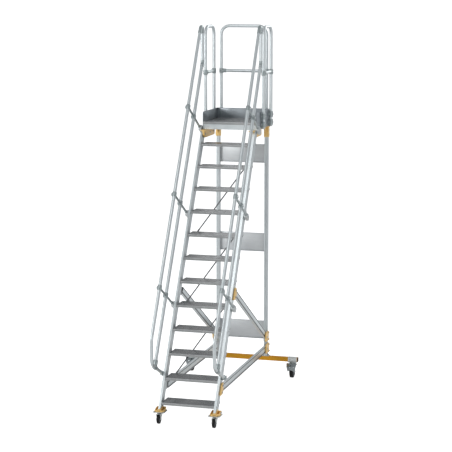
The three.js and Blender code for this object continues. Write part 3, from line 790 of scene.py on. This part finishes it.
def platform_brackets():
    """Yellow gussets at the stringers' tops and yellow sleeves at the uprights' tops."""
    top = BRACKET_TOP
    for hand, side in SIDES:
        gusset = Piece(CAST_YELLOW, BOLT_STEEL)
        inner, outer = 272, 294
        gusset.slab([(y, top + z) for y, z in GUSSET], side * inner, side * outer, bevel=5, segments=3)
        gusset.slab(rectangle(1588, 2030, top - 8, top), side * 250, side * 318, bevel=2)
        for y, drop in ((1640, 50), (1840, 46), (2000, 42)):
            gusset.bolt((side * inner, y, top - drop), (-side, 0, 0), 13, look=1)
        gusset.done("platform_gusset_" + hand, "frame", "cast_yellow")

        low, high = span("upright_" + hand)
        x, y = (low.x + high.x) / 2, (low.y + high.y) / 2
        wide, deep, wall = high.x - low.x, high.y - low.y, 6
        sleeve = Piece(CAST_YELLOW, BOLT_STEEL)
        sleeve.prism(rounded(wide + 2 * wall, deep + 2 * wall, 6, (x, y)), top - 130, top - 1,
                     holes=[rounded(wide + 0.4, deep + 0.4, 3.5, (x, y))])
        sleeve.prism(rounded(wide + 26, deep + 22, 8, (x, y)), top - 9, top - 1, bevel=1.5)
        back, front = low.y - 5, low.y - 78
        web = [(back, top - 100), (back, top - 8), (front, top - 8), (front, top - 20)]
        sleeve.slab(web, x - 5, x + 5, bevel=1.5)
        for z in (top - 100, top - 48):
            sleeve.bolt((x, high.y + wall, z), (0, 1, 0), 13, look=1)
            sleeve.bolt((x + side * (wide / 2 + wall), y, z), (side, 0, 0), 13, look=1)
        sleeve.done("upright_sleeve_" + hand, "frame", "cast_yellow")


# ---- rails and guards ----------------------------------------------------------------------
def collar(piece, at, along, extra, length, look=0):
    """A cast collar round a tube, thicker than it by extra and thinner towards its rims."""
    half, bore, radius = length / 2, TUBE / 2 - 0.5, TUBE / 2 + extra
    rim = [(radius - 3, half), (radius - 1, half - 2), (radius, half - 6)]
    profile = [(bore, -half), *((r, -w) for r, w in rim), *reversed(rim), (bore, half)]
    piece.turned(profile, aimed(at, along, spare_axis(along)), 32, look, closed=True)


def pinch(piece, at, along, outward, radius, length):
    """The split ears of a clamp, with a bolt through them."""
    along, outward = Vector(along).normalized(), Vector(outward).normalized()
    across = along.cross(outward)
    place = aimed(Vector(at) + outward * (radius - 2), outward, across)
    for gap in (-5, 5):
        piece.prism(rounded(6, length * 0.7, 2.5, (gap, 0), 3), 0, 12, place, bevel=0.8)
    middle = Vector(at) + outward * (radius + 5)
    piece.bolt(middle + across * 8, across, 9, look=1)
    piece.bolt(middle - across * 8, -across, 9, look=1)


def handrails():
    top_y = slope_y(RAIL_END_TOP, TOP_RAIL)
    corners = (
        RAIL_FOOT,
        (RAIL_FRONT_Y, RAIL_RETURN_Z),
        (RAIL_FRONT_Y, slope_z(RAIL_FRONT_Y, TOP_RAIL)),
        (top_y, RAIL_END_TOP),
        (RAIL_END_Y, RAIL_END_TOP),
        (RAIL_END_Y, RAIL_END_BOTTOM),
    )
    for hand, side in SIDES:
        path = [Vector((side * RAIL_X, *corner)) for corner in corners]
        rail = Piece(ALUMINIUM["slope"])
        rail.tube(route(path, RAIL_BENDS))
        rail.done(f"handrail_{hand}_tube", "frame", "aluminium", "handrail_" + hand)

        mid_ys = (MID_RAIL_LOW_Y, RAIL_END_Y - TUBE / 2)
        ends = [Vector((side * RAIL_X, y, slope_z(y, MID_RAIL))) for y in mid_ys]
        mid = Piece(ALUMINIUM["slope"])
        mid.tube(ends)
        mid.done(f"mid_rail_{hand}_tube", "frame", "aluminium", "mid_rail_" + hand)
        rail_joints(hand, side, path, ends[0])


def rail_joints(hand, side, path, mid_rail_low):
    """Elbows at the rails' upper ends, and the clamps and the foot of the lower return."""
    foot, front, _, top, end, bottom = path
    cover, thin, outward = TUBE + 4, 1.8, Vector((side, 0, 0))
    elbows = Piece(CAST_GREY, BOLT_STEEL)
    bend = route([top - UPHILL * 78, top, end, end - UP * 66], (36, 36), 8)
    elbows.tube(bend, diameter=cover, wall=thin)
    collar(elbows, bend[0], UPHILL, 3.6, 14)
    collar(elbows, bend[-1], UP, 3.6, 14)
    for at in (top - UPHILL * 56, end - UP * 48):
        elbows.bolt(at + outward * (TUBE / 2 + 1.5), outward, 9, look=1)
    corner = bottom - UP * 6
    joined = route([bottom + UP * 26, corner, corner - UPHILL * 52], (24,), 8)
    elbows.tube(joined, diameter=cover, wall=thin)
    collar(elbows, joined[-1], UPHILL, 3.6, 12)
    collar(elbows, mid_rail_low + UPHILL * 14, UPHILL, 6, 58)
    down = (foot - front).normalized()
    clamp = front + down * 124
    collar(elbows, clamp, down, 7, 64)
    pinch(elbows, clamp, down, -OUTWARD, TUBE / 2 + 7, 50)
    foot = foot - down * 6
    collar(elbows, foot, down, 7, 56)
    elbows.disc(TUBE / 2 + 5, 20, 27, aimed(foot, down), 32, 2)
    boss = rounded(54, 46, 10, (foot.y + 2, foot.z - 2))
    elbows.slab(boss, side * STRINGER_OUT, foot.x, bevel=3)
    for dz in (-14, 14):
        elbows.bolt(foot + outward * (TUBE / 2 + 4) + Vector((0, 4, dz)), outward, 11, look=1)
    elbows.flatten(2, BOX_TOP)
    elbows.done("handrail_joints_" + hand, "frame", "cast_grey")


def struts():
    """Brackets square to the slope: a saddle on the stringer, an arm and a split clamp round each rail."""
    lost = UPHILL.z + UPHILL.y * RUN / RISE  # level offset lost for each millimetre along the arm
    saddle_out = RAIL_X + 12
    for hand, side in SIDES:
        for place, height in STRUT_HEIGHTS.items():
            node = f"rail_strut_{place}_{hand}"
            foot = Vector((side * RAIL_X, slope_y(height, STRINGER_MIDDLE), height))
            tops = [foot + OUTWARD * ((STRINGER_MIDDLE - offset) / lost) for offset in (MID_RAIL, TOP_RAIL)]
            arm = Piece(CAST_GREY, BOLT_STEEL, LIGHT_CAST)
            arm.rod(foot - OUTWARD * 20, tops[1], 13, 24)
            inner, outer = sorted((side * SADDLE_IN, side * saddle_out))
            saddle = aimed((0, foot.y, foot.z), (1, 0, 0), OUTWARD)
            arm.prism(rounded(126, 60, 16, (-18, 0)), inner, outer, saddle, bevel=5, look=2)
            arm.disc(17.5, -8, 10, aimed(foot + OUTWARD * 38, OUTWARD), 28, 3)
            for along in (-20, 20):
                at = foot + UPHILL * along
                arm.bolt((side * saddle_out, at.y, at.z), (side, 0, 0), 12, look=1)
            for top in tops:
                collar(arm, top, UPHILL, 6, 56)
                pinch(arm, top, UPHILL, (side, 0, 0), 23.5, 46)
                arm.disc(16.5, -30, -20, aimed(top, OUTWARD), 28, 3)
            arm.done(node + "_casting", "frame", "cast_grey", node)


def guard(name, feet, inward, reach):
    """A hoop of tube with a knee rail between cast tees, and two clamps to the toe board at each foot."""
    side_axis = [abs(c) for c in inward]
    inward = Vector(inward)
    rear = name == "guard_rear"  # its outer face is the frame's own limit, so its bolts are on the inside
    hoop = Piece(ALUMINIUM["post"])
    first, last = feet
    corners = [(*first, GUARD_BOTTOM), (*first, GUARD_TOP), (*last, GUARD_TOP), (*last, GUARD_BOTTOM)]
    hoop.tube(route(corners, (GUARD_BEND, GUARD_BEND), 14), side_axis)
    start, end = (Vector((*foot, KNEE_Z)) for foot in feet)
    across = (end - start).normalized()
    hoop.tube([start + across * 16, end - across * 16], side_axis)

    clamps = Piece(CAST_GREY, BOLT_STEEL)
    bolted = inward if rear else -inward
    for tee, way in ((start, across), (end, -across)):
        collar(clamps, tee, UP, 6, 58)
        collar(clamps, tee + way * 40, way, 5, 42)
        for dz in (-16, 16):
            clamps.bolt(tee + bolted * (TUBE / 2 + 5) + UP * dz, bolted, 9, look=1)
    sideways = inward.cross(UP)
    for letter, foot in zip("ab", feet):
        post = Vector((*foot, 0))
        for z0, z1 in GUARD_CLAMPS:
            centre, tall = post + UP * ((z0 + z1) / 2), z1 - z0
            wing = centre + inward * (reach - 7)
            collar(clamps, centre, UP, 7, tall)
            clamps.prism(rounded(46, tall - 4, 8, steps=4), 0, reach - 6.5,
                         aimed(centre + inward * 6, inward, sideways), bevel=3)
            clamps.prism(rounded(74, tall - 10, 10, steps=4), 0, 6, aimed(wing, inward, sideways), bevel=1.5)
            for dx in (-29, 29):
                clamps.bolt(wing + sideways * dx, -inward, 12, look=1)
            if not rear:
                clamps.bolt(centre - inward * (TUBE / 2 + 6), -inward, 13, look=1)
        cap = Piece(CAP)
        cap.disc(TUBE / 2 - 0.4, GUARD_BOTTOM - 3, GUARD_BOTTOM + 6, Matrix.Translation(post), 28, 1.5)
        cap.done(f"{name}_plug_{letter}", "frame", "tyre")
    hoop.done(name + "_hoop", "frame", "aluminium", name)
    clamps.flatten(1, BOX_BACK)
    clamps.done(name + "_clamps", "frame", "cast_grey")


def guards():
    high = span("toe_board")[1]
    for hand, side in SIDES:
        feet = [(side * RAIL_X, y) for y in SIDE_GUARD_YS]
        guard("guard_" + hand, feet, (-side, 0, 0), RAIL_X - high.x)
    feet = [(-REAR_GUARD_X, REAR_GUARD_Y), (REAR_GUARD_X, REAR_GUARD_Y)]
    guard("guard_rear", feet, (0, -1, 0), REAR_GUARD_Y - high.y)


# ---- feet and casters ----------------------------------------------------------------------
def chamfered(wide, deep, corner, centre):
    w, d = wide / 2, deep / 2
    outline = [(w - corner, -d), (w, -d + corner), (w, d - corner), (w - corner, d),
               (-w + corner, d), (-w, d - corner), (-w, -d + corner), (-w + corner, -d)]
    return [(centre[0] + u, centre[1] + v) for u, v in outline]


def feet():
    middle, y = FRONT["swivel"]
    base, low, high = 136, -50, 60  # the ribs' underside, and their ends along Y
    rib = [(low, base), (low, 141), (30, 160), (high, 164), (high, base)]
    back_wall = [(52, base), (60, base), (61, 165), (53, 165)]
    front_wall = [(low, base), (-44, base), (-44, 146), (low, 144)]
    taller = [(v, z + 14 if z > 140 else z) for v, z in rib]  # beside the stringer
    ribs = ((STRINGER_IN - 7, STRINGER_OUT + 7, taller), (middle - 52, middle - 44, rib),
            (middle + 44, middle + 52, rib))
    plate, thick = FRONT["mount"] + 0.5, 7.4
    for hand, side in SIDES:
        node = "foot_" + hand
        x = side * middle
        cast = Piece(CAST_YELLOW, ZINC, BOLT_STEEL)
        cast.prism(chamfered(112, 116, 26, (x, y)), 128, 139, bevel=3)
        for inner, outer, outline in ribs:
            cast.slab(outline, side * inner, side * outer, bevel=2.5)
        cast.slab(back_wall, x - 50, x + 50, bevel=2)
        cast.slab(front_wall, x - 50, x + 50, bevel=1.5)
        for bolt_y in (22, 52):
            cast.bolt((side * (middle + 52), bolt_y, 149), (side, 0, 0), 12, look=2)
        cast.prism(rounded(132, 134, 14, (x, y)), plate, plate + thick, bevel=1.2, look=1)
        for dx in (-51, 51):
            for dy in (-52.02, 52.02):
                cast.bolt((x + dx, y + dy, plate + thick), (0, 0, 1), 9, look=2)
                cast.bolt((x + dx, y + dy, plate), (0, 0, -1), 9, look=2)
        cast.done(node + "_casting", "frame", "cast_yellow", node)


def fork(name, node, body, side, caster):
    """A pressed swivel fork: a domed raceway, two cheeks that narrow to the axle, and the axle's nuts."""
    radius, cheek, mount = caster["radius"], caster["cheek"], caster["mount"]
    x, swivel_y = side * caster["swivel"][0], caster["swivel"][1]
    axle_y, crown, head, sheet = swivel_y - caster["trail"], 2 * radius + 4, radius * 0.55, 3
    # The rear fork takes the zinc darkened as painted shade.
    pressed = Piece(SHADED_ZINC if caster is REAR else ZINC, BOLT_STEEL, CAP)
    here = Matrix.Translation((x, swivel_y, 0))
    dome = [(0, crown), (head * 0.8, crown), (head, crown + 4), (head, crown + (mount - crown) * 0.5),
            (head * 0.93, mount - 3), (head * 0.86, mount), (0, mount)]
    pressed.turned(dome, here, 48)
    seal = [(head - 2, 5), (head + 1.5, 6.5), (head + 1.5, 8.5), (head - 2, 10)]
    pressed.turned([(r, crown + w) for r, w in seal], here, 48, 2, closed=True)
    front, back = axle_y - radius * 0.45, swivel_y + head
    outline = [(back, crown + 5), (back, crown - 4), *arc((axle_y, radius), 13, 10, -190, 10),
               (front, crown - 4), (front, crown + 5)]
    rib = [(y * 0.72 + (axle_y + 6) * 0.28, z * 0.8 + (radius + 10) * 0.2) for y, z in outline]
    for way in (-1, 1):
        pressed.slab(outline, x + way * cheek, x + way * (cheek + sheet), bevel=0.9)
        pressed.slab(rib, x + way * (cheek + 2.5), x + way * (cheek + 4.2), bevel=0.7)
        nut = (x + way * (cheek + sheet), axle_y, radius)
        pressed.bolt(nut, (way, 0, 0), 16 if caster is REAR else 13, look=1)
    pressed.block((x - cheek - sheet, front, crown + 1.2), (x + cheek + sheet, back, crown + 5), 1.2)
    pressed.rod((x - cheek - 2, axle_y, radius), (x + cheek + 2, axle_y, radius), 6, 20, 0.8, 1)
    pressed.done(name, body, "zinc", node)


def wheel(name, node, body, side, caster):
    """A tyre with round shoulders on a ribbed hub."""
    radius, half = caster["radius"], caster["width"] / 2
    place = facing("x", (side * caster["swivel"][0], caster["swivel"][1] - caster["trail"], radius))
    seat = radius * 0.74
    curve = min(10, half * 0.55)
    crown = arc((radius - curve, half - curve), curve, 90, 0, 5)
    edge = [(seat, half - 5), (seat + 2, half - 1.5), (seat + 5, half)]
    groove = [(radius, -3), (radius - 0.9, -2.2), (radius - 0.9, 2.2), (radius, 3)]
    near = [(r, -w) for r, w in edge + crown]
    tyre = Piece(RUBBER)
    tyre.turned([*near, *groove, *reversed(crown), *reversed(edge)], place, 64, closed=True)
    tyre.done(name + "_tyre", body, "tyre", node)

    hub = Piece(HUB, BOLT_STEEL)
    boss, bore = radius * 0.27, 6.4
    web, rim = half * 0.35, half - 6
    far = [(seat - 0.2, rim), (seat - 5, rim), (seat - 7, web), (boss + 1.5, web), (boss, half + 1.5),
           (boss - 1, half + 2.5), (bore, half + 2.5)]
    hub.turned([*((r, -w) for r, w in reversed(far)), *far], place, 56, closed=True)
    spokes = 6
    for k in range(spokes):
        turn = Matrix.Rotation(2 * math.pi * k / spokes, 4, "Z")
        for low, high in ((-rim, -web + 1), (web - 1, rim)):
            hub.prism(rectangle(boss - 1, seat - 4.5, -2, 2), low, high, place @ turn, bevel=0.7)
    washer, thick = (bore + 0.2, boss - 2.5), 1.2
    for w in (-half - 2.6, half + 1.4):
        hub.turned(rectangle(*washer, w, w + thick), place, 40, 1, True)
    hub.done(name + "_hub", body, "tyre")


def pedal(name, node, body, side):
    """A pressed and domed brake pedal that narrows downwards and hangs on a pin over the fork."""
    x = side * REAR["swivel"][0]
    y, z = REAR["swivel"][1] + PEDAL_HINGE[0], PEDAL_HINGE[1]
    line = route([(0, 6, 9), (0, -44, 8), (0, -84, -22), (0, -76, -58)], (18, 30), 6)
    columns, thick = 12, 3.2
    shell = bmesh.new()
    layers = []
    for inset in (0, thick):
        rows = []
        for k, point in enumerate(line):
            t = k / (len(line) - 1)
            half = 63 - 20 * t * t
            row = []
            for i in range(columns + 1):
                u = 2 * i / columns - 1
                back = 36 * (0.25 + 0.75 * t) * u * u + inset * t
                drop = (3 + 30 * t * t) * u * u + inset * (1 - 0.6 * t)
                row.append(shell.verts.new((x + half * u, y + point.y + back, z + point.z - drop)))
            rows.append(row)
        layers.append(rows)
    outer, inner = layers
    strips = [pair for rows in layers for pair in zip(rows, rows[1:])]
    strips += [(outer[k], inner[k]) for k in (0, -1)]
    strips += [([row[k] for row in outer], [row[k] for row in inner]) for k in (0, -1)]
    for a, b in strips:
        for i in range(len(a) - 1):
            shell.faces.new((a[i], a[i + 1], b[i + 1], b[i]))
    # The pedal takes the zinc darkened as painted shade.
    pressed = Piece(SHADED_ZINC, BOLT_STEEL)
    pressed.take(shell, Matrix.Identity(4), 0, 0, 0)
    pressed.rod((x - 60, y, z), (x + 60, y, z), 4.6, 20, 1, 1)
    for way in (-1, 1):
        pressed.bolt((x + way * 57, y, z), (way, 0, 0), 9, look=1)
    pressed.done(name, body, "zinc", node)


def casters():
    for hand, side in SIDES:
        for place, caster in (("front", FRONT), ("rear", REAR)):
            body = f"fork_{place}_{hand}"
            fork(body + "_pressing", body, body, side, caster)
            body = f"wheel_{place}_{hand}"
            wheel(body, body, body, side, caster)
        body = "brake_pedal_" + hand
        pedal(body + "_pressing", body, body, side)


# ---- floor, light and camera ---------------------------------------------------------------
def studio():
    """A pale grey backdrop that is lighter below, a floor and four lamps, in metres."""
    scene = bpy.context.scene
    scene.view_settings.view_transform = "Standard"
    world = bpy.data.worlds.new("studio")
    world.use_nodes = True
    scene.world = world
    nodes, links = world.node_tree.nodes, world.node_tree.links
    place = nodes.new("ShaderNodeTexCoord")
    split = nodes.new("ShaderNodeSeparateXYZ")
    ramp = nodes.new("ShaderNodeValToRGB")
    stops = ramp.color_ramp.elements
    low, middle, high = BACKDROP
    stops[0].position, stops[0].color = low
    stops[1].position, stops[1].color = high
    stops.new(middle[0]).color = middle[1]
    links.new(place.outputs["Generated"], split.inputs["Vector"])
    links.new(split.outputs["Z"], ramp.inputs["Fac"])
    links.new(ramp.outputs["Color"], nodes["Background"].inputs["Color"])

    grid = bmesh.new()
    grid.faces.new([grid.verts.new((u, v, 0)) for u, v in rectangle(-FLOOR, FLOOR, -FLOOR, FLOOR)])
    mesh = bpy.data.meshes.new("floor")
    grid.to_mesh(mesh)
    grid.free()
    pale = bpy.data.materials.new("pale_floor")
    pale.use_nodes = True
    shader = pale.node_tree.nodes["Principled BSDF"]
    shader.inputs["Base Color"].default_value = (0.86, 0.86, 0.86, 1)
    shader.inputs["Roughness"].default_value = 0.9
    shader.inputs["Emission Color"].default_value = (1, 1, 1, 1)
    glow = pale.node_tree.nodes.new("ShaderNodeMapRange")  # the floor looks white but lights little
    glow.inputs["To Min"].default_value = 0.12
    glow.inputs["To Max"].default_value = 0.72
    seen = pale.node_tree.nodes.new("ShaderNodeLightPath")
    pale.node_tree.links.new(seen.outputs["Is Camera Ray"], glow.inputs["Value"])
    pale.node_tree.links.new(glow.outputs["Result"], shader.inputs["Emission Strength"])
    mesh.materials.append(pale)
    floor = bpy.data.objects.new("floor", mesh)
    scene.collection.objects.link(floor)

    for name, at, size, power in LAMPS:
        data = bpy.data.lights.new(name, "AREA")
        data.size = size
        data.energy = power
        lamp = bpy.data.objects.new(name, data)
        lamp.location = at
        lamp.rotation_euler = (LAMP_TARGET - Vector(at)).to_track_quat("-Z", "Y").to_euler()
        scene.collection.objects.link(lamp)


def camera():
    data = bpy.data.cameras.new("camera")
    data.sensor_width, data.lens, data.clip_end = SENSOR, LENS, 2000
    eye = bpy.data.objects.new("camera", data)
    eye.location = EYE
    eye.rotation_euler = (math.radians(90 - EYE_DOWN), 0, math.radians(EYE_TURN))
    bpy.context.scene.collection.objects.link(eye)
    bpy.context.scene.camera = eye


camera()
studio()
treads()
platform()
toe_board()
stringers()
uprights()
panels()
braces()
knuckles()
stay_rods()
crossbar()
platform_brackets()
handrails()
struts()
guards()
feet()
casters()
